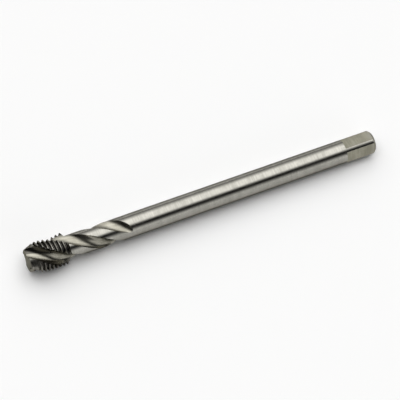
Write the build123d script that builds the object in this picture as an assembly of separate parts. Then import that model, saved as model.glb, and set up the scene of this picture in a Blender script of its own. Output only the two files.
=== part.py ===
from build123d import *
import math
import os

# Right-hand machine tap: a short threaded head, three spiral flutes that run out on a
# slimmer shank, and a square drive. It is drawn upright, tip at z = 0 and square on top,
# then laid down as it comes to rest. Lengths are in millimetres, angles in degrees.

# threaded head
thread_d = 8.0            # major diameter over the crests
thread_pitch = 1.0
thread_len = 10.0         # from the tip to the last full crest
thread_start = 54.0       # direction of the crest at the tip
flank_angle = 30.0        # each flank from square to the axis, 60 degrees between the two
crest_flat = 0.125        # width of the crest
thread_depth = 0.613      # crest to root, along a radius
groove_clear = 0.05       # how far the groove's cutter stands out of the crests
groove_overrun = 15.0     # turn by which it runs out of a land into each flute
tip_d = 5.9               # flat face at the tip
lead_len = 2.6            # tapered lead, about two and a half threads
back_angle = 30.0         # slope of the head's rear face, from square to the axis

# neck and shank
overall_len = 95.0
shank_d = 6.0
neck_d = 5.9              # behind the head; it widens evenly to the shank past the flutes

# spiral flutes
flute_count = 3
flute_lead = 32.5         # axial length of one full turn
flute_start = 92.0        # direction of the first flute's middle at the tip
flute_angle = 62.0        # opening of a flute at the crests
flute_full_len = 22.5     # from the tip to where the grinding wheel begins to lift out
lift_radius = 14.0        # radius of the wheel's path as it lifts out
core_d = 3.5              # web left between the flutes
rake_angle = 10.0         # hook of the cutting face
root_r = 1.2              # radius between the cutting face and the web
section_gap = 1.25        # greatest spacing of the sections that a flute is lofted through

# square drive
square_af = 4.9           # across the flats
square_len = 8.3
square_root_r = 0.3       # left by the cutter where a flat meets the shank
end_chamfer = 0.6

# centre hole in the end of the square
centre_pilot_d = 1.0
centre_depth = 2.4        # to the full diameter's end
centre_mouth_d = 2.1
centre_angle = 60.0       # included angle of the mouth
drill_angle = 118.0       # included angle of the pilot's bottom

# how it lies at rest: on the end of the last crest, the next land and the shank's rear
rest_roll = -28.7         # about its axis, from flats level and upright
rest_touch = 4.7          # from the tip to where the next land touches

# sizes that follow from these
head_r = thread_d / 2
neck_r = neck_d / 2
shank_r = shank_d / 2
back_slope = math.tan(math.radians(back_angle))
flank_slope = math.tan(math.radians(flank_angle))
full_depth = head_r - core_d / 2
lift_len = math.sqrt(2 * lift_radius * full_depth - full_depth**2)


def polar(radius, direction):
    """Point of the cross-section at this radius and direction."""
    turn = math.radians(direction)
    return Vector(radius * math.cos(turn), radius * math.sin(turn))


def turned_blank():
    """The bar as turned: flat tip, tapered lead, head, sloped rear face, neck and shank."""
    outline = Polyline(
        (0, 0),
        (tip_d / 2, 0),
        (head_r, lead_len),
        (head_r, thread_len),
        (neck_r, thread_len + (head_r - neck_r) * back_slope),
        (shank_r, flute_full_len + lift_len),
        (shank_r, overall_len - end_chamfer),
        (shank_r - end_chamfer, overall_len),
        (0, overall_len),
        close=True,
    )
    return revolve(Plane.XZ * make_face(outline), Axis.Z)


def flute_section():
    """Cross-section of a flute with its middle on +X: a straight hooked cutting face, an
    arc that just reaches the web, and a straight heel tangent to the arc."""
    cutting_edge = polar(head_r, flute_angle / 2)
    heel_edge = polar(head_r, -flute_angle / 2)
    inward = polar(1, flute_angle / 2 + 180 - rake_angle)
    across = polar(1, flute_angle / 2 - 90 - rake_angle)

    # the arc's centre is root_r from the face and root_r outside the web
    beside_edge = cutting_edge + across * root_r
    along = beside_edge.dot(inward)
    reach = math.sqrt(along**2 - beside_edge.length**2 + (core_d / 2 + root_r) ** 2)
    centre = beside_edge - inward * (along + reach)
    face_end = centre - across * root_r
    root_mid = centre - centre.normalized() * root_r

    # the heel runs from its edge to a tangent point on the arc
    to_heel = heel_edge - centre
    tangent_turn = math.degrees(math.acos(root_r / to_heel.length))
    heel_end = centre + polar(root_r, math.degrees(math.atan2(to_heel.Y, to_heel.X)) - tangent_turn)

    # both walls carry on past the crests, so that the section closes in the open
    face_out = cutting_edge - inward * head_r
    heel_out = heel_edge + (heel_edge - heel_end).normalized() * head_r
    return make_face(
        Line(face_out, face_end)
        + ThreePointArc(face_end, root_mid, heel_end)
        + Line(heel_end, heel_out)
        + Line(heel_out, face_out)
    )


def flute_cutter():
    """What the grinding wheel takes out for one flute, from ahead of the tip until it has
    lifted clear. Each section is turned with the spiral and moved out with the wheel."""
    section = flute_section()
    start, stop = -section_gap, flute_full_len + lift_len
    gaps = math.ceil((stop - start) / section_gap)
    sections = []
    for i in range(gaps + 1):
        z = start + (stop - start) * i / gaps
        past = max(0.0, z - flute_full_len)
        lift = lift_radius - math.sqrt(lift_radius**2 - past**2)
        turn = flute_start + 360 * z / flute_lead
        sections.append(Pos(0, 0, z) * Rot(0, 0, turn) * Pos(lift, 0, 0) * section)
    return loft(sections)


def groove_stretch():
    """A stretch of the thread's groove, long enough to run out of a land at both sides.
    Its middle is at height 0 on +X."""
    turn = 360 / flute_count - flute_angle + 2 * groove_overrun
    rise = thread_pitch * turn / 360
    half_mouth = (thread_pitch - crest_flat) / 2
    half_root = half_mouth - thread_depth * flank_slope
    half_outer = half_mouth + groove_clear * flank_slope
    path = Helix(thread_pitch, rise, head_r - thread_depth)
    section = make_face(
        Polyline(
            (0, -half_root),
            (thread_depth + groove_clear, -half_outer),
            (thread_depth + groove_clear, half_outer),
            (0, half_root),
            close=True,
        )
    )
    start = Plane(path @ 0, x_dir=(1, 0, 0), z_dir=(0, -1, 0))
    return Pos(0, 0, -rise / 2) * Rot(0, 0, -turn / 2) * sweep(start * section, path, is_frenet=True)


def thread_grooves():
    """The groove wherever it crosses a land. The lands turn with the flutes, so along one
    land the crossings are a little more than a pitch apart."""
    stretch = groove_stretch()
    gap = thread_pitch / (1 - thread_pitch / flute_lead)
    last = thread_len + (thread_pitch - crest_flat) / 2
    grooves = []
    for i in range(flute_count):
        land_start = flute_start + 360 / flute_count * (i + 0.5)
        z = gap * (0.5 + (land_start - thread_start) / 360) % gap
        while z < last:
            grooves.append(Pos(0, 0, z) * Rot(0, 0, land_start + 360 * z / flute_lead) * stretch)
            z += gap
    return grooves


def square_waste():
    """What milling the four flats removes, rounded where the cutter meets the shoulder."""
    seat_z = overall_len - square_len
    corner_r = min(square_root_r, 0.8 * (shank_d - square_af) / 2)
    waste = Pos(0, 0, seat_z + square_len / 2) * (
        Box(2 * shank_d, 2 * shank_d, square_len) - Box(square_af, square_af, square_len)
    )
    seat_edges = waste.edges().filter_by_position(Axis.Z, seat_z, seat_z)
    inner_edges = seat_edges.filter_by(lambda edge: edge.length < shank_d)
    return fillet(inner_edges, corner_r)


def centre_hole():
    """Centre-drilled hole: conical mouth, pilot and drill point."""
    mouth_r, pilot_r = centre_mouth_d / 2, centre_pilot_d / 2
    mouth_len = (mouth_r - pilot_r) / math.tan(math.radians(centre_angle / 2))
    point_len = pilot_r / math.tan(math.radians(drill_angle / 2))
    top = overall_len
    outline = Polyline(
        (0, top),
        (mouth_r, top),
        (pilot_r, top - mouth_len),
        (pilot_r, top - centre_depth),
        (0, top - centre_depth - point_len),
        close=True,
    )
    return revolve(Plane.XZ * make_face(outline), Axis.Z)


def thread_tap():
    """The whole tap, upright."""
    tap = turned_blank()
    cutter = flute_cutter()
    for i in range(flute_count):
        tap -= Rot(0, 0, 360 * i / flute_count) * cutter
    return tap - thread_grooves() - square_waste() - centre_hole()


def laid_down(tap):
    """Axis along +X, rolled and leaning as it comes to rest. The origin is on the surface
    it lies on, under the middle of its length."""
    shank_rear = overall_len - square_len
    lean = math.atan2(head_r - shank_r, shank_rear - rest_touch)
    lift = shank_rear * math.sin(lean) + shank_r * math.cos(lean)
    back = overall_len / 2 * math.cos(lean)
    place = Pos(-back, 0, lift) * Rot(0, math.degrees(lean), 0) * Plane.YZ.location
    return place * Rot(0, 0, rest_roll) * tap


os.makedirs("parts", exist_ok=True)
export_step(laid_down(thread_tap()), "parts/thread_tap.step")
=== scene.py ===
import math
from collections import namedtuple
import bmesh
import bpy
from mathutils import Matrix, Vector


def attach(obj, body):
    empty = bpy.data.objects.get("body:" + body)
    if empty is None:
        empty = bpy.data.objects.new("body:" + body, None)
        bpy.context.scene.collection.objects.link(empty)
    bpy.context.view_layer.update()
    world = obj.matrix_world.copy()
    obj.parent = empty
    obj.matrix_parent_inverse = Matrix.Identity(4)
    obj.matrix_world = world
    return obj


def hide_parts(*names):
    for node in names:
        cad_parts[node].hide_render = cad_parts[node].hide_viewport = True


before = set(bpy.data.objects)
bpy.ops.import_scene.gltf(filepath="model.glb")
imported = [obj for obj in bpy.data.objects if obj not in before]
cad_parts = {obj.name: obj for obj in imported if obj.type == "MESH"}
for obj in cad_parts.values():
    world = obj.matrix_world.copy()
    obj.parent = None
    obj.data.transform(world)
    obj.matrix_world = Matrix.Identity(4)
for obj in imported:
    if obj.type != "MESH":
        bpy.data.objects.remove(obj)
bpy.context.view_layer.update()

print("frame loaded")

# The tap is worked out upright, in millimetres, with its tip at z = 0. A direction is an
# angle round the axis in degrees, and layDown puts a point where the tap really lies.

lying = {
    "length": 95.0,
    "shankRear": 86.7,      # where the round shank ends and the square begins
    "roll": -28.7,          # turn about its own axis as it rests
    "frontTouch": 4.7,      # where the head touches the floor, from the tip
}

head = {
    "radius": 4.0,
    "tipRadius": 2.95,
    "leadLength": 2.6,
    "threadLength": 10.0,
    "darkEnd": 10.2,        # behind this the head is as bright as the shank
    "backEnd": 10.606,      # foot of the sloped rear face
    "pitch": 1.0,
    "crestFlat": 0.125,
    "threadDepth": 0.613,
    "flankAngle": 30.0,     # of a groove's wall, from square to the axis
    "rootSoftness": 0.06,   # how far the root's corners are rounded
    "crestStart": 54.0,     # direction of the crest at the tip
    # rows in a groove, as parts of the pitch counted from the middle of the crest before it
    "grooveRows": [0.15, 0.25, 0.35, 0.42, 0.5, 0.58, 0.65, 0.75, 0.85],
    "firstTurn": -2,        # rows start this many turns of the thread before the tip
    "joinHeight": 11.0,     # from here on the rows are level
}

flute = {
    "count": 3,
    "lead": 32.5,           # axial length of one full turn
    "start": 92.0,          # direction of the first flute's middle at the tip
    "coreRadius": 1.75,
    "radius": 2.6,          # of the round channel
    "creaseTurn": 27.0,     # how far the channel curves up before the cutting face begins
    "faceWay": 32.0,        # direction of the face, from the flute's middle
    "headHeel": 2.55,       # half width of the channel on its heel's side, in the head
    "neckHeel": 3.3,        # and behind it
    "wideningFrom": 5.0,
    "wideningTo": 13.0,
    "paintedHeelFull": 5.0,       # the heel's side has painted shade up to here
    "paintedHeelEnd": 7.0,        # and none from here on
    "paintedHeelEdge": -0.45,     # where the painted shade begins, from the deepest point towards the heel
    "paintedHeelFade": 0.5,
    "toothShadow": 0.1,     # how far below the teeth the painted shadow reaches into the flute
    "toothFade": 0.3,
    "fullLength": 22.5,     # from here on the flute lifts out
    "liftRadius": 9.5,
    "wallReach": 6.0,       # longer than either wall of a flute
    "edgeGuess": 34.0,      # about the direction of an edge, from the flute's middle
    "columns": 26,
    "landColumns": 32,
    "edgeStrip": 0.014,     # part of a land that is the worn strip along its edge
    "rowGap": 0.35,
    "runoutGap": 0.22,      # between rows where the flute lifts out
    "runoutEase": 0.15,     # the rows close up to this part of that gap at the end
    "lastGap": 0.05,
}

shank = {
    "neckRadius": 2.95,
    "radius": 3.0,
    "neckEnd": 30.116,
    "firstGap": 0.1,        # from the flutes' end to the first plain row
    "rowGap": 1.6,
    "settled": 3.0,         # the columns suit the square this far before it
    "squareHalf": 2.45,
    "seatRadius": 0.3,      # between a flat and its shoulder
    "chamfer": 0.6,
    "flatFinishEnd": 0.3,   # the flats' finish stops this far before the end
    "flatColumns": 16,
    "cornerColumns": 8,
    "seatRows": 6,
    "flatRows": 7,
    "chamferRows": 8,
}

centreHole = {
    "faceRings": (2.1, 1.6),    # radii of the rows between the chamfer and the mouth
    "faceDepth": 0.001,         # what lies this near the end is its face
    "faceInside": 2.0,          # rings this small have the end's finish at any depth
    "mouthRadius": 1.05,
    "pilotRadius": 0.5,
    "mouthEnd": 0.953,          # depths from the end of the square
    "pilotEnd": 2.4,
    "point": 2.7,
}

outline = [
    (0.0, head["tipRadius"]),
    (head["leadLength"], head["radius"]),
    (head["threadLength"], head["radius"]),
    (head["backEnd"], shank["neckRadius"]),
    (shank["neckEnd"], shank["radius"]),
    (lying["length"] - shank["chamfer"], shank["radius"]),
    (lying["length"], shank["radius"] - shank["chamfer"]),
]
sector = 360 / flute["count"]
sectorColumns = flute["columns"] + flute["landColumns"]
crestGap = head["pitch"] / (1 - head["pitch"] / flute["lead"])   # crest to crest along a land
halfFlat = math.degrees(math.acos(shank["squareHalf"] / shank["radius"]))

# a point of the grid that the tap is made from: its distance from the axis, its direction,
# its height, how far across the flute or the land it is, and how worn
Spot = namedtuple("Spot", "radius at z across wear")


def layDown(x, y, z):
    reach = lying["shankRear"] - lying["frontTouch"]
    lean = math.atan2(head["radius"] - shank["radius"], reach)
    turn = math.radians(lying["roll"])
    side = x * math.cos(turn) - y * math.sin(turn)
    up = x * math.sin(turn) + y * math.cos(turn)
    lift = lying["shankRear"] * math.sin(lean) + shank["radius"] * math.cos(lean)
    along = (z - lying["length"] / 2) * math.cos(lean) + up * math.sin(lean)
    return Vector((along, side, up * math.cos(lean) - z * math.sin(lean) + lift)) / 1000


def turnedRadius(z):
    for (low, lowRadius), (high, highRadius) in zip(outline, outline[1:]):
        if z <= high:
            return lowRadius + (highRadius - lowRadius) * max(0.0, z - low) / (high - low)
    return outline[-1][1]


def polar(radius, degrees):
    turn = math.radians(degrees)
    return Vector((radius * math.cos(turn), radius * math.sin(turn)))


def smoothStep(t):
    t = min(1.0, max(0.0, t))
    return t * t * (3 - 2 * t)


def lastTrue(low, high, test, halvings=32):
    # the place between low and high where the test stops being true
    for _ in range(halvings):
        middle = (low + high) / 2
        if test(middle):
            low = middle
        else:
            high = middle
    return low


def fluteLift(z):
    past = max(0.0, z - flute["fullLength"])
    return flute["liftRadius"] - math.sqrt(flute["liftRadius"] ** 2 - past**2)


def heelReach(z):
    # the heel's side of a flute opens out behind the head
    part = smoothStep((z - flute["wideningFrom"]) / (flute["wideningTo"] - flute["wideningFrom"]))
    return flute["headHeel"] + (flute["neckHeel"] - flute["headHeel"]) * part


def flutePoint(t, z):
    # cross-section of a flute with its middle on +X: a round channel, wider at the heel,
    # that meets the straight cutting face at a crease. t is the way along it from the
    # deepest point, positive towards the face
    radius = flute["radius"]
    crease = math.radians(flute["creaseTurn"])
    turn = min(crease, max(-math.pi / 2, t / radius))
    out = flute["coreRadius"] + fluteLift(z) + radius * (1 - math.cos(turn))
    place = Vector((out, (radius if t > 0 else heelReach(z)) * math.sin(turn)))
    if t > radius * crease:
        place += polar(t - radius * crease, flute["faceWay"])
    elif t < -radius * math.pi / 2:
        place.x -= t + radius * math.pi / 2
    return place


def fluteLeaves(radius, z, way):
    # where a flute reaches this radius, towards the heel (-1) or the face (1)
    def inside(t):
        return flutePoint(way * t, z).length < radius

    return way * lastTrue(0.0, flute["wallReach"], inside) if inside(0.0) else 0.0


# the height at which a flute has lifted clear of the neck
fluteEnd = lastTrue(
    flute["fullLength"], shank["neckEnd"],
    lambda z: flutePoint(0.0, z).length < turnedRadius(z), halvings=40,
)


def fluteTurn(z):
    return flute["start"] + 360 * min(z, fluteEnd) / flute["lead"]


def crestHeight(relative):
    # height of the first crest where the direction, taken from the first flute, is this
    return crestGap * (relative + flute["start"] - head["crestStart"]) / 360


def grooveDepth(away):
    # depth of the thread's groove this far from the middle of a crest
    wall = max(0.0, away - head["crestFlat"] / 2) / math.tan(math.radians(head["flankAngle"]))
    deep, soft = head["threadDepth"], head["rootSoftness"]
    if wall > deep + soft:
        return deep
    if wall > deep - soft:
        return wall - (wall - deep + soft) ** 2 / (4 * soft)
    return wall


def landRadius(z, relative):
    # the turned outline with the thread's groove in it; the last groove ends with the head
    radius = turnedRadius(z)
    turns = (z - crestHeight(relative)) / crestGap
    landMiddle = sector * (math.floor(relative / sector) + 0.5)
    grooveMiddle = crestGap * (math.floor(turns) + 0.5) + crestHeight(landMiddle)
    lastGroove = head["threadLength"] + (head["pitch"] - head["crestFlat"]) / 2
    if z > head["backEnd"] or grooveMiddle > lastGroove:
        return radius
    away = abs(turns - round(turns)) * head["pitch"]
    return min(radius, head["radius"] - grooveDepth(away))


def makeLandParts():
    # where the columns of a land stand, from 0 at one edge to 1 at the other
    n, strip = flute["landColumns"], flute["edgeStrip"]
    inner = [strip + (1 - 2 * strip) * j / (n - 2) for j in range(n - 1)]
    return [0.0] + inner + [1.0]


landParts = makeLandParts()


def flutedRow(height, wear=0.0):
    # one row round the fluted part. height gives z where the direction, taken from the
    # first flute, is this. The two depend on each other, and settle in a few passes
    edgePasses, wallPasses = 5, 4

    def edge(i, way):
        local = way * flute["edgeGuess"]
        t = 0.0
        for _ in range(edgePasses):
            z = height(local + sector * i)
            t = fluteLeaves(landRadius(z, local + sector * i), z, way)
            place = flutePoint(t, z)
            local = math.degrees(math.atan2(place.y, place.x))
        return t, local + sector * i

    def wallPoint(t, i, local, worn):
        for _ in range(wallPasses):
            z = height(local + sector * i)
            place = flutePoint(t, z)
            local = math.degrees(math.atan2(place.y, place.x))
        radius = min(place.length, turnedRadius(z))
        return Spot(radius, local + sector * i + fluteTurn(z), z, t, worn), local

    row = []
    for i in range(flute["count"]):
        heelT, heelAt = edge(i, -1)
        faceT, faceAt = edge(i, 1)
        nextAt = edge(i + 1, -1)[1]
        local = heelAt - sector * i
        for j in range(flute["columns"] + 1):
            t = heelT + (faceT - heelT) * j / flute["columns"]
            onEdge = float(j in (0, flute["columns"]))
            spot, local = wallPoint(t, i, local, onEdge)
            row.append(spot)
        for part in landParts[1:-1]:
            at = faceAt + (nextAt - faceAt) * part
            z = height(at)
            across = math.radians(at) * head["radius"]
            row.append(Spot(landRadius(z, at), at + fluteTurn(z), z, across, wear))
    heelT, heelAt = edge(flute["count"], -1)
    row.append(wallPoint(heelT, flute["count"], heelAt - 360, 1.0)[0])
    return row


def levelRow(z):
    return flutedRow(lambda relative: z)


def threadedRow(turns, wear):
    # follows the thread, so that crests and roots lie along rows
    def height(relative):
        z = crestGap * turns + crestHeight(relative)
        return min(head["joinHeight"], max(0.0, z))

    return flutedRow(height, wear)


def headRows():
    crestEdge = head["crestFlat"] / 2 / head["pitch"]
    rows = [levelRow(0.0)]
    turns = head["firstTurn"]
    while crestGap * turns < head["joinHeight"]:
        for part in [-crestEdge, 0.0, crestEdge] + head["grooveRows"]:
            rows.append(threadedRow(turns + part, float(abs(part) == crestEdge)))
        turns += 1
    z = head["joinHeight"]
    while z < fluteEnd - flute["lastGap"]:
        rows.append(levelRow(z))
        if z < flute["fullLength"]:
            z += flute["rowGap"]
        else:
            z += flute["runoutGap"] * min(1.0, flute["runoutEase"] + fluteEnd - z)
    rows.append(levelRow(fluteEnd))
    return rows


def squareDirections():
    # columns of the shank once they suit the square: the flats' edges lie along columns.
    # A fifth quarter leaves room to begin at the column nearest to the flutes' first one
    flats, corners = shank["flatColumns"], shank["cornerColumns"]
    quarter = [-halfFlat + 2 * halfFlat * j / flats for j in range(flats)]
    quarter += [halfFlat + (90 - 2 * halfFlat) * j / corners for j in range(corners)]
    around = [90 * k + at for k in range(5) for at in quarter]
    first = fluteTurn(fluteEnd) % 90
    begin = min(range(len(quarter)), key=lambda k: abs(around[k] - first))
    return around[begin:begin + 4 * len(quarter)]


def shankRow(z, blend, radiusAt, wear=0.0):
    # columns turn from where the flutes leave them to where the square wants them; those
    # that came from inside a flute have run together at its end
    square = squareDirections()
    first = fluteTurn(fluteEnd)
    shift = 90 * round((first - square[0]) / 90)
    steps = [0] * flute["columns"] + list(range(flute["landColumns"]))
    row = []
    for i in range(flute["count"]):
        for step in steps:
            start = first + sector * (i + landParts[step])
            at = start + (square[i * flute["landColumns"] + step] + shift - start) * blend
            row.append(Spot(radiusAt(at), at, z, math.radians(at) * shank["radius"], wear))
    across = row[0].across + math.tau * shank["radius"]
    row.append(row[0]._replace(at=row[0].at + 360, across=across))
    return row


def shankRows():
    rows, rear = [], lying["shankRear"]
    start = fluteEnd + shank["firstGap"]
    turningTo = rear - shank["settled"]
    count = math.ceil((rear - start) / shank["rowGap"])
    for j in range(count + 1):
        z = start + (rear - start) * j / count
        blend = smoothStep((z - shank["neckEnd"]) / (turningTo - shank["neckEnd"]))
        rows.append(shankRow(z, blend, lambda at: turnedRadius(z)))
    return rows


def flatRadius(at, half, most):
    # radius of the square's section with flats this far out and corners this far
    fromFlat = (at + 45) % 90 - 45
    return min(most, half / math.cos(math.radians(fromFlat)))


def squareRows():
    rows, rear, seat = [], lying["shankRear"], shank["seatRadius"]
    half, radius, length = shank["squareHalf"], shank["radius"], lying["length"]

    def add(z, out, most, wear=0.0):
        rows.append(shankRow(z, 1.0, lambda at: flatRadius(at, out, most), wear))

    # the shoulder, and the round the cutter left at its foot
    add(rear, radius, radius, 1.0)
    add(rear, (radius + half + seat) / 2, radius)
    for j in range(shank["seatRows"] + 1):
        turn = math.pi / 2 * j / shank["seatRows"]
        add(rear + seat * (1 - math.cos(turn)), half + seat * (1 - math.sin(turn)), radius)

    # the flats, then the chamfer
    chamferStart = length - shank["chamfer"]
    for j in range(1, shank["flatRows"] + 1):
        z = rear + seat + (chamferStart - rear - seat) * j / shank["flatRows"]
        add(z, half, radius, float(j == shank["flatRows"]))
    for j in range(1, shank["chamferRows"] + 1):
        down = shank["chamfer"] * j / shank["chamferRows"]
        add(chamferStart + down, half, radius - down, float(j == shank["chamferRows"]))

    # the end face and the centre hole, both round
    mouth, pilot, mouthEnd = centreHole["mouthRadius"], centreHole["pilotRadius"], centreHole["mouthEnd"]
    for out in centreHole["faceRings"]:
        add(length, math.inf, out)
    add(length, math.inf, mouth, 1.0)
    add(length - mouthEnd / 2, math.inf, (mouth + pilot) / 2)
    add(length - mouthEnd, math.inf, pilot)
    add(length - centreHole["pilotEnd"], math.inf, pilot)
    add(length - centreHole["point"], math.inf, 0.0)
    return rows


def paintedGrooveShade(spot):
    # painted shade in the thread's grooves: 0 on a crest or a plain surface, 1 at the bottom of a groove
    if spot.z > head["backEnd"]:
        return 0.0
    return min(1.0, (turnedRadius(spot.z) - spot.radius) / head["threadDepth"])


def paintedFluteShade(spot):
    # painted shade on a flute: its heel's side near the tip, and under the teeth along both edges
    near = 1 - smoothStep((spot.z - flute["paintedHeelFull"]) / (flute["paintedHeelEnd"] - flute["paintedHeelFull"]))
    heel = near * smoothStep((flute["paintedHeelEdge"] - spot.across) / flute["paintedHeelFade"])
    if spot.z > head["backEnd"]:
        return heel
    overRoot = spot.radius - head["radius"] + head["threadDepth"]
    return max(heel, smoothStep((overRoot + flute["toothShadow"]) / flute["toothFade"]))


def finishOf(part, column, spots):
    # which finish a face of the grid has
    z = sum(spot.z for spot in spots) / 4
    if part == "head":
        if column % sectorColumns < flute["columns"]:
            return "fluteSteel"
        return "threadSteel" if z < head["darkEnd"] else "shankSteel"
    if part == "shank":
        return "shankSteel"
    onFace = z > lying["length"] - centreHole["faceDepth"]
    if onFace or max(spot.radius for spot in spots) < centreHole["faceInside"]:
        return "endSteel"
    at = (sum(spot.at for spot in spots) / 4 + 45) % 90 - 45
    beforeEnd = z < lying["length"] - shank["flatFinishEnd"]
    return "flatSteel" if abs(at) < halfFlat and beforeEnd else "shankSteel"


meshing = {
    "weld": 2e-6,           # points closer than this are one, in metres
    "sliver": 1e-6,         # edges shorter than this go
    "sharp": 32.0,          # edges that turn more than this stay sharp
}


def buildTap():
    parts = [("head", headRows()), ("shank", shankRows()), ("square", squareRows())]
    rows = [(part, row) for part, group in parts for row in group]
    bm = bmesh.new()
    upright = bm.verts.layers.float_vector.new("upright")
    wearLayer = bm.verts.layers.float.new("wear")
    paintedShadeLayer = bm.verts.layers.float.new("paintedShadeMask")
    ground = bm.loops.layers.uv.new("ground")
    grid = []
    for part, row in rows:
        line = []
        for column, spot in enumerate(row):
            flat = polar(spot.radius, spot.at)
            vert = bm.verts.new(layDown(flat.x, flat.y, spot.z))
            vert[upright] = (flat.x, flat.y, spot.z)
            vert[wearLayer] = spot.wear
            # painted shade kept in an attribute: the grooves' bottoms on the lands, the heel's side near
            # the tip and the teeth in the flutes
            if part == "head":
                onLand = column % sectorColumns > flute["columns"]
                vert[paintedShadeLayer] = paintedGrooveShade(spot) if onLand else paintedFluteShade(spot)
            line.append(vert)
        grid.append(line)
    finishNames = list(finishes)
    for r in range(len(grid) - 1):
        for c in range(len(grid[r]) - 1):
            around = [(r, c), (r, c + 1), (r + 1, c + 1), (r + 1, c)]
            spots = [rows[a][1][b] for a, b in around]
            face = bm.faces.new([grid[a][b] for a, b in around])
            face.material_index = finishNames.index(finishOf(rows[r + 1][0], c, spots))
            face.smooth = True
            for loop, spot in zip(face.loops, spots):
                loop[ground].uv = (spot.across, spot.z)
    tip = bm.faces.new(list(reversed(grid[0][:-1])))
    tip.material_index = finishNames.index("endSteel")

    # weld the seam, the flutes' ends and the bottom of the centre hole
    bmesh.ops.remove_doubles(bm, verts=bm.verts, dist=meshing["weld"])
    bmesh.ops.dissolve_degenerate(bm, edges=bm.edges, dist=meshing["sliver"])
    bmesh.ops.recalc_face_normals(bm, faces=bm.faces)
    loose = [vert for vert in bm.verts if not vert.link_faces]
    bmesh.ops.delete(bm, geom=loose, context="VERTS")
    openEdges = sum(1 for edge in bm.edges if len(edge.link_faces) != 2)
    print("tap mesh:", len(bm.verts), "points,", len(bm.faces), "faces,", openEdges, "open edges")

    mesh = bpy.data.meshes.new("threadTapMesh")
    bm.to_mesh(mesh)
    bm.free()
    mesh.set_sharp_from_angle(angle=math.radians(meshing["sharp"]))
    piece = bpy.data.objects.new("threadTap", mesh)
    bpy.context.scene.collection.objects.link(piece)
    return piece


class Wire:
    # a value in a node tree that takes part in ordinary arithmetic
    def __init__(self, sheet, socket):
        self.sheet = sheet
        self.socket = socket

    def calc(self, operation, a, b):
        return self.sheet.add("ShaderNodeMath", {"operation": operation}, {0: a, 1: b})

    def __add__(self, other):
        return self.calc("ADD", self, other)

    def __radd__(self, other):
        return self.calc("ADD", other, self)

    def __sub__(self, other):
        return self.calc("SUBTRACT", self, other)

    def __rsub__(self, other):
        return self.calc("SUBTRACT", other, self)

    def __mul__(self, other):
        return self.calc("MULTIPLY", self, other)

    def __rmul__(self, other):
        return self.calc("MULTIPLY", other, self)

    def __truediv__(self, other):
        return self.calc("DIVIDE", self, other)

    def __rtruediv__(self, other):
        return self.calc("DIVIDE", other, self)

    def __neg__(self):
        return self.calc("MULTIPLY", self, -1.0)


class Sheet:
    # a node tree that is filled one node at a time
    def __init__(self, tree):
        self.tree = tree
        tree.nodes.clear()

    def add(self, kind, settings=None, sockets=None, out=0):
        # out names the output that goes on from here, or several of them
        node = self.tree.nodes.new(kind)
        for name, value in (settings or {}).items():
            if name == "stops":
                self.fillRamp(node.color_ramp, value)
            else:
                setattr(node, name, value)
        for key, value in (sockets or {}).items():
            socket = node.inputs[key]
            if isinstance(value, Wire):
                self.tree.links.new(value.socket, socket)
            elif socket.type == "RGBA":
                socket.default_value = (*value, 1.0)
            else:
                socket.default_value = value
        if not node.outputs:
            return node
        if isinstance(out, tuple):
            return [Wire(self, node.outputs[name]) for name in out]
        return Wire(self, node.outputs[out])

    def fillRamp(self, ramp, stops):
        while len(ramp.elements) > 1:
            ramp.elements.remove(ramp.elements[-1])
        for k, (place, level) in enumerate(stops):
            element = ramp.elements[0] if k == 0 else ramp.elements.new(place)
            element.position = place
            element.color = (level, level, level, 1.0)

    def mix(self, factor, a, b, blend="MIX"):
        # sockets 6 and 7 and output 2 are the node's colours
        settings = {"data_type": "RGBA", "blend_type": blend}
        return self.add("ShaderNodeMix", settings, {0: factor, 6: a, 7: b}, out=2)

    def stretch(self, vector, x, y, z):
        return self.add("ShaderNodeVectorMath", {"operation": "MULTIPLY"}, {0: vector, 1: (x, y, z)})

    def noise(self, vector, scale, detail, roughness=0.5):
        return self.add(
            "ShaderNodeTexNoise", {"noise_dimensions": "3D"},
            {"Vector": vector, "Scale": scale, "Detail": detail, "Roughness": roughness},
        )

    def ease(self, value, low, high, newLow=0.0, newHigh=1.0):
        # a smooth step from one pair of values to another
        return self.add(
            "ShaderNodeMapRange", {"interpolation_type": "SMOOTHSTEP"},
            {"Value": value, "From Min": low, "From Max": high, "To Min": newLow, "To Max": newHigh},
        )


def aroundLines(fine):
    # marks that run round the axis
    broad = 0.5
    return lambda sheet, place: sheet.stretch(place, broad, broad, fine)


def fluteLines(sheet, place):
    # marks that run along the flutes
    ground = sheet.add("ShaderNodeUVMap", {"uv_map": "ground"})
    fine, broad = 14.0, 0.35
    return sheet.stretch(ground, fine, broad, 1.0)


def speckle(sheet, place):
    fine = 9.0
    return sheet.stretch(place, fine, fine, fine)


wornEdge = (0.44, 0.425, 0.38)

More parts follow.
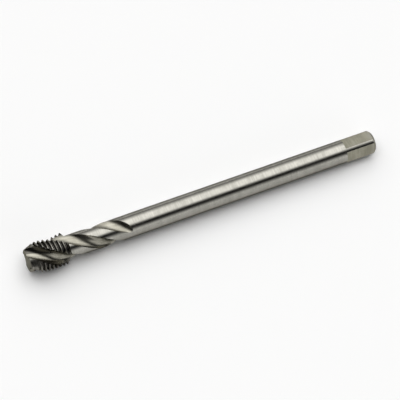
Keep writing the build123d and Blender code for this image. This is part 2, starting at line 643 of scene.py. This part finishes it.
# each colour varies from dull to bright while the roughness falls from its second value to
# its first; depths are in metres
finishes = {
    "threadSteel": {
        "dull": (0.12, 0.115, 0.102),
        "bright": (0.27, 0.26, 0.23),
        "worn": (0.36, 0.348, 0.31),
        "rough": (0.24, 0.36),
        "lines": aroundLines(9.0),
        "lineDepth": 4e-6,
        "paintedShade": 0.88,       # how dark the painted shade at the bottom of a groove gets
    },
    "fluteSteel": {
        "dull": (0.218, 0.208, 0.172),
        "bright": (0.305, 0.292, 0.248),
        "worn": wornEdge,
        "rough": (0.2, 0.32),
        "lines": fluteLines,
        "lineDepth": 6e-6,
        # how dark the painted shade on the flutes gets
        "paintedShade": 0.75,
    },
    "shankSteel": {
        "dull": (0.262, 0.256, 0.229),
        "bright": (0.335, 0.325, 0.294),
        "worn": wornEdge,
        "rough": (0.15, 0.22),
        "lines": aroundLines(16.0),
        "lineDepth": 2e-6,
    },
    "flatSteel": {
        "dull": (0.28, 0.27, 0.215),
        "bright": (0.37, 0.356, 0.287),
        "worn": wornEdge,
        "rough": (0.42, 0.55),
        "lines": aroundLines(11.0),
        "lineDepth": 6e-6,
    },
    "endSteel": {
        "dull": (0.28, 0.27, 0.215),
        "bright": (0.335, 0.325, 0.294),
        "worn": wornEdge,
        "rough": (0.38, 0.5),
        "lines": speckle,
        "lineDepth": 6e-6,
    },
}

grain = {
    "lineDetail": 3.0,
    "lineRoughness": 0.65,
    "coarse": 0.23,             # a coarser grain runs the same way, at this part of the scale
    "coarseDetail": 1.0,
    "cloudScale": 0.35,         # blotches, per millimetre
    "cloudDetail": 3.0,
    "cloudRoughness": 0.6,
    "cloudPart": 0.5,           # of the mixture that sets colour and roughness
    "coarsePart": 0.3,
    "linePart": 0.2,
    "dullBelow": 0.35,
    "brightAbove": 0.65,
    "scratchFrom": 0.60,        # lines this strong begin to be scratches
    "scratchFull": 0.74,
    "scratchShine": 0.25,
    "edgeWear": 0.6,
    "leastWear": 0.45,          # part of it that is left where the blotches are weakest
    "wearFrom": 0.3,
    "wearFull": 0.6,
    # colour of the painted shade in the grooves and the flutes
    "paintedShade": (0.035, 0.033, 0.03),
    "paintedShadePatches": 0.35,        # how far the blotches break it up
    "paintedShadeFrom": -0.12,
    "paintedShadeFull": 0.58,
    "grazing": (0.2, 0.2, 0.19),    # tint at grazing angles
    "bump": 0.35,
    "bumpLines": 0.7,           # the rest of the bump is the coarser grain
}


def metal(name):
    look = finishes[name]
    material = bpy.data.materials.new(name)
    material.use_nodes = True
    sheet = Sheet(material.node_tree)
    place = sheet.add("ShaderNodeAttribute", {"attribute_name": "upright"}, out="Vector")
    wear = sheet.add("ShaderNodeAttribute", {"attribute_name": "wear"}, out="Fac")
    way = look["lines"](sheet, place)
    lines = sheet.noise(way, 1.0, grain["lineDetail"], grain["lineRoughness"])
    part = grain["coarse"]
    coarse = sheet.noise(sheet.stretch(way, part, part, part), 1.0, grain["coarseDetail"])
    cloud = sheet.noise(place, grain["cloudScale"], grain["cloudDetail"], grain["cloudRoughness"])
    scratch = sheet.ease(lines, grain["scratchFrom"], grain["scratchFull"])
    mixture = cloud * grain["cloudPart"] + coarse * grain["coarsePart"] + lines * grain["linePart"]
    mixed = sheet.ease(mixture, grain["dullBelow"], grain["brightAbove"])

    colour = sheet.mix(mixed, look["dull"], look["bright"])
    patches = sheet.ease(cloud, grain["wearFrom"], grain["wearFull"], grain["leastWear"], 1.0)
    edge = wear * patches * grain["edgeWear"]
    colour = sheet.mix(edge, colour, look["worn"])
    # painted shade: the attribute darkens the grooves and parts of the flutes, broken up by the blotches
    if "paintedShade" in look:
        paintedShadeMask = sheet.add("ShaderNodeAttribute", {"attribute_name": "paintedShadeMask"}, out="Fac")
        uneven = paintedShadeMask - cloud * grain["paintedShadePatches"]
        dark = sheet.ease(uneven, grain["paintedShadeFrom"], grain["paintedShadeFull"], 0.0, look["paintedShade"])
        colour = sheet.mix(dark, colour, grain["paintedShade"])

    smooth, coarsest = look["rough"]
    rough = sheet.ease(mixed - scratch * grain["scratchShine"], 0.0, 1.0, coarsest, smooth)
    bump = sheet.add("ShaderNodeBump", {}, {
        "Strength": grain["bump"],
        "Distance": look["lineDepth"],
        "Height": lines * grain["bumpLines"] + coarse * (1 - grain["bumpLines"]),
    })
    shader = sheet.add("ShaderNodeBsdfPrincipled", {}, {
        "Base Color": colour,
        "Metallic": 1.0,
        "Roughness": rough,
        "Normal": bump,
        "Specular Tint": grain["grazing"],
    })
    sheet.add("ShaderNodeOutputMaterial", {}, {"Surface": shader})
    return material


studio = {
    # brightness round the tap's length: 0 is the horizon in front, 90 overhead, 180 behind
    "over": [
        (0, 0.0), (58, 0.0), (64, 0.03), (71, 0.12), (79, 0.95), (88, 2.15), (97, 2.42), (128, 2.42),
        (137, 2.10), (147, 1.40), (158, 0.80), (170, 0.45), (180, 0.35),
    ],
    "front": [
        (0, 1.00), (16, 1.20), (27, 1.00), (35, 0.62), (43, 0.25), (52, 0.04), (58, 0.0), (180, 0.0),
    ],
    # and along it: -1 beyond the tip, 1 beyond the square
    "overAlong": [
        (-1.0, 0.12), (-0.8, 0.18), (-0.6, 0.5), (-0.48, 1.0),
        (0.48, 1.0), (0.6, 0.6), (0.8, 0.22), (1.0, 0.15),
    ],
    "frontAlong": [(-1.0, 0.05), (-0.12, 0.05), (0.15, 1.0), (0.55, 1.0), (0.8, 0.3), (1.0, 0.2)],
    "floorColour": (0.96, 0.96, 0.957),
    "floorRoughness": 0.9,
    "floorSize": 30.0,
}

viewpoint = {
    "target": (0.0, 0.0, 0.00347),
    "azimuth": -48.851,
    "elevation": 69.122,
    "distance": 0.7,
    "roll": 27.533,
    "width": 400,               # of the frame, in pixels
    "focal": 2797.3,            # in the same pixels
    "sensor": 36.0,
    "nudge": (-0.000723, 0.0000475),
    "clip": (0.01, 100.0),
}


def makeWorld():
    world = bpy.data.worlds.new("studio")
    bpy.context.scene.world = world
    world.use_nodes = True
    sheet = Sheet(world.node_tree)
    way = sheet.add("ShaderNodeTexCoord", {}, out="Generated")
    along, side, up = sheet.add("ShaderNodeSeparateXYZ", {}, {0: way}, out=("X", "Y", "Z"))
    turn = sheet.add("ShaderNodeMath", {"operation": "ARCTAN2"}, {0: up, 1: -side}) / math.pi
    reach = along * 0.5 + 0.5
    top = max(level for at, level in studio["over"] + studio["front"])
    lights = []
    for around, ends in (("over", "overAlong"), ("front", "frontAlong")):
        stops = [(at / 180, level / top) for at, level in studio[around]]
        band = sheet.add("ShaderNodeValToRGB", {"stops": stops}, {"Fac": turn})
        stops = [((at + 1) / 2, level) for at, level in studio[ends]]
        shade = sheet.add("ShaderNodeValToRGB", {"stops": stops}, {"Fac": reach})
        lights.append(sheet.mix(1.0, band, shade, "MULTIPLY"))
    both = sheet.mix(1.0, *lights, "ADD")
    light = sheet.add("ShaderNodeBackground", {}, {"Color": both, "Strength": top})
    sheet.add("ShaderNodeOutputWorld", {}, {"Surface": light})


def makeFloor():
    half = studio["floorSize"] / 2
    corners = [(-half, -half, 0), (half, -half, 0), (half, half, 0), (-half, half, 0)]
    mesh = bpy.data.meshes.new("floorMesh")
    mesh.from_pydata(corners, [], [(0, 1, 2, 3)])
    floor = bpy.data.objects.new("floor", mesh)
    bpy.context.scene.collection.objects.link(floor)
    material = bpy.data.materials.new("palePaper")
    material.use_nodes = True
    sheet = Sheet(material.node_tree)
    shader = sheet.add("ShaderNodeBsdfPrincipled", {}, {
        "Base Color": studio["floorColour"],
        "Roughness": studio["floorRoughness"],
        "Specular IOR Level": 0.0,
    })
    sheet.add("ShaderNodeOutputMaterial", {}, {"Surface": shader})
    mesh.materials.append(material)


def makeCamera():
    data = bpy.data.cameras.new("viewCamera")
    data.sensor_width = viewpoint["sensor"]
    data.lens = viewpoint["focal"] * data.sensor_width / viewpoint["width"]
    data.clip_start, data.clip_end = viewpoint["clip"]
    camera = bpy.data.objects.new("viewCamera", data)
    bpy.context.scene.collection.objects.link(camera)
    azimuth, elevation = math.radians(viewpoint["azimuth"]), math.radians(viewpoint["elevation"])
    level = math.cos(elevation)
    back = Vector((math.sin(azimuth) * level, -math.cos(azimuth) * level, math.sin(elevation)))
    right = Vector((0, 0, 1)).cross(back).normalized()
    up = back.cross(right)
    turn = math.radians(viewpoint["roll"])
    rolledRight = right * math.cos(turn) + up * math.sin(turn)
    rolledUp = up * math.cos(turn) - right * math.sin(turn)
    sideways, upwards = viewpoint["nudge"]
    place = Vector(viewpoint["target"]) + back * viewpoint["distance"]
    place += rolledRight * sideways + rolledUp * upwards
    camera.matrix_world = Matrix((
        (rolledRight.x, rolledUp.x, back.x, place.x),
        (rolledRight.y, rolledUp.y, back.y, place.y),
        (rolledRight.z, rolledUp.z, back.z, place.z),
        (0, 0, 0, 1),
    ))
    bpy.context.scene.camera = camera


tapPiece = buildTap()
for name in finishes:
    tapPiece.data.materials.append(metal(name))
print("finishes made")
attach(tapPiece, "root")
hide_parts("thread_tap")
makeWorld()
makeFloor()
makeCamera()
bpy.context.scene.view_settings.view_transform = "Standard"
print("studio ready")
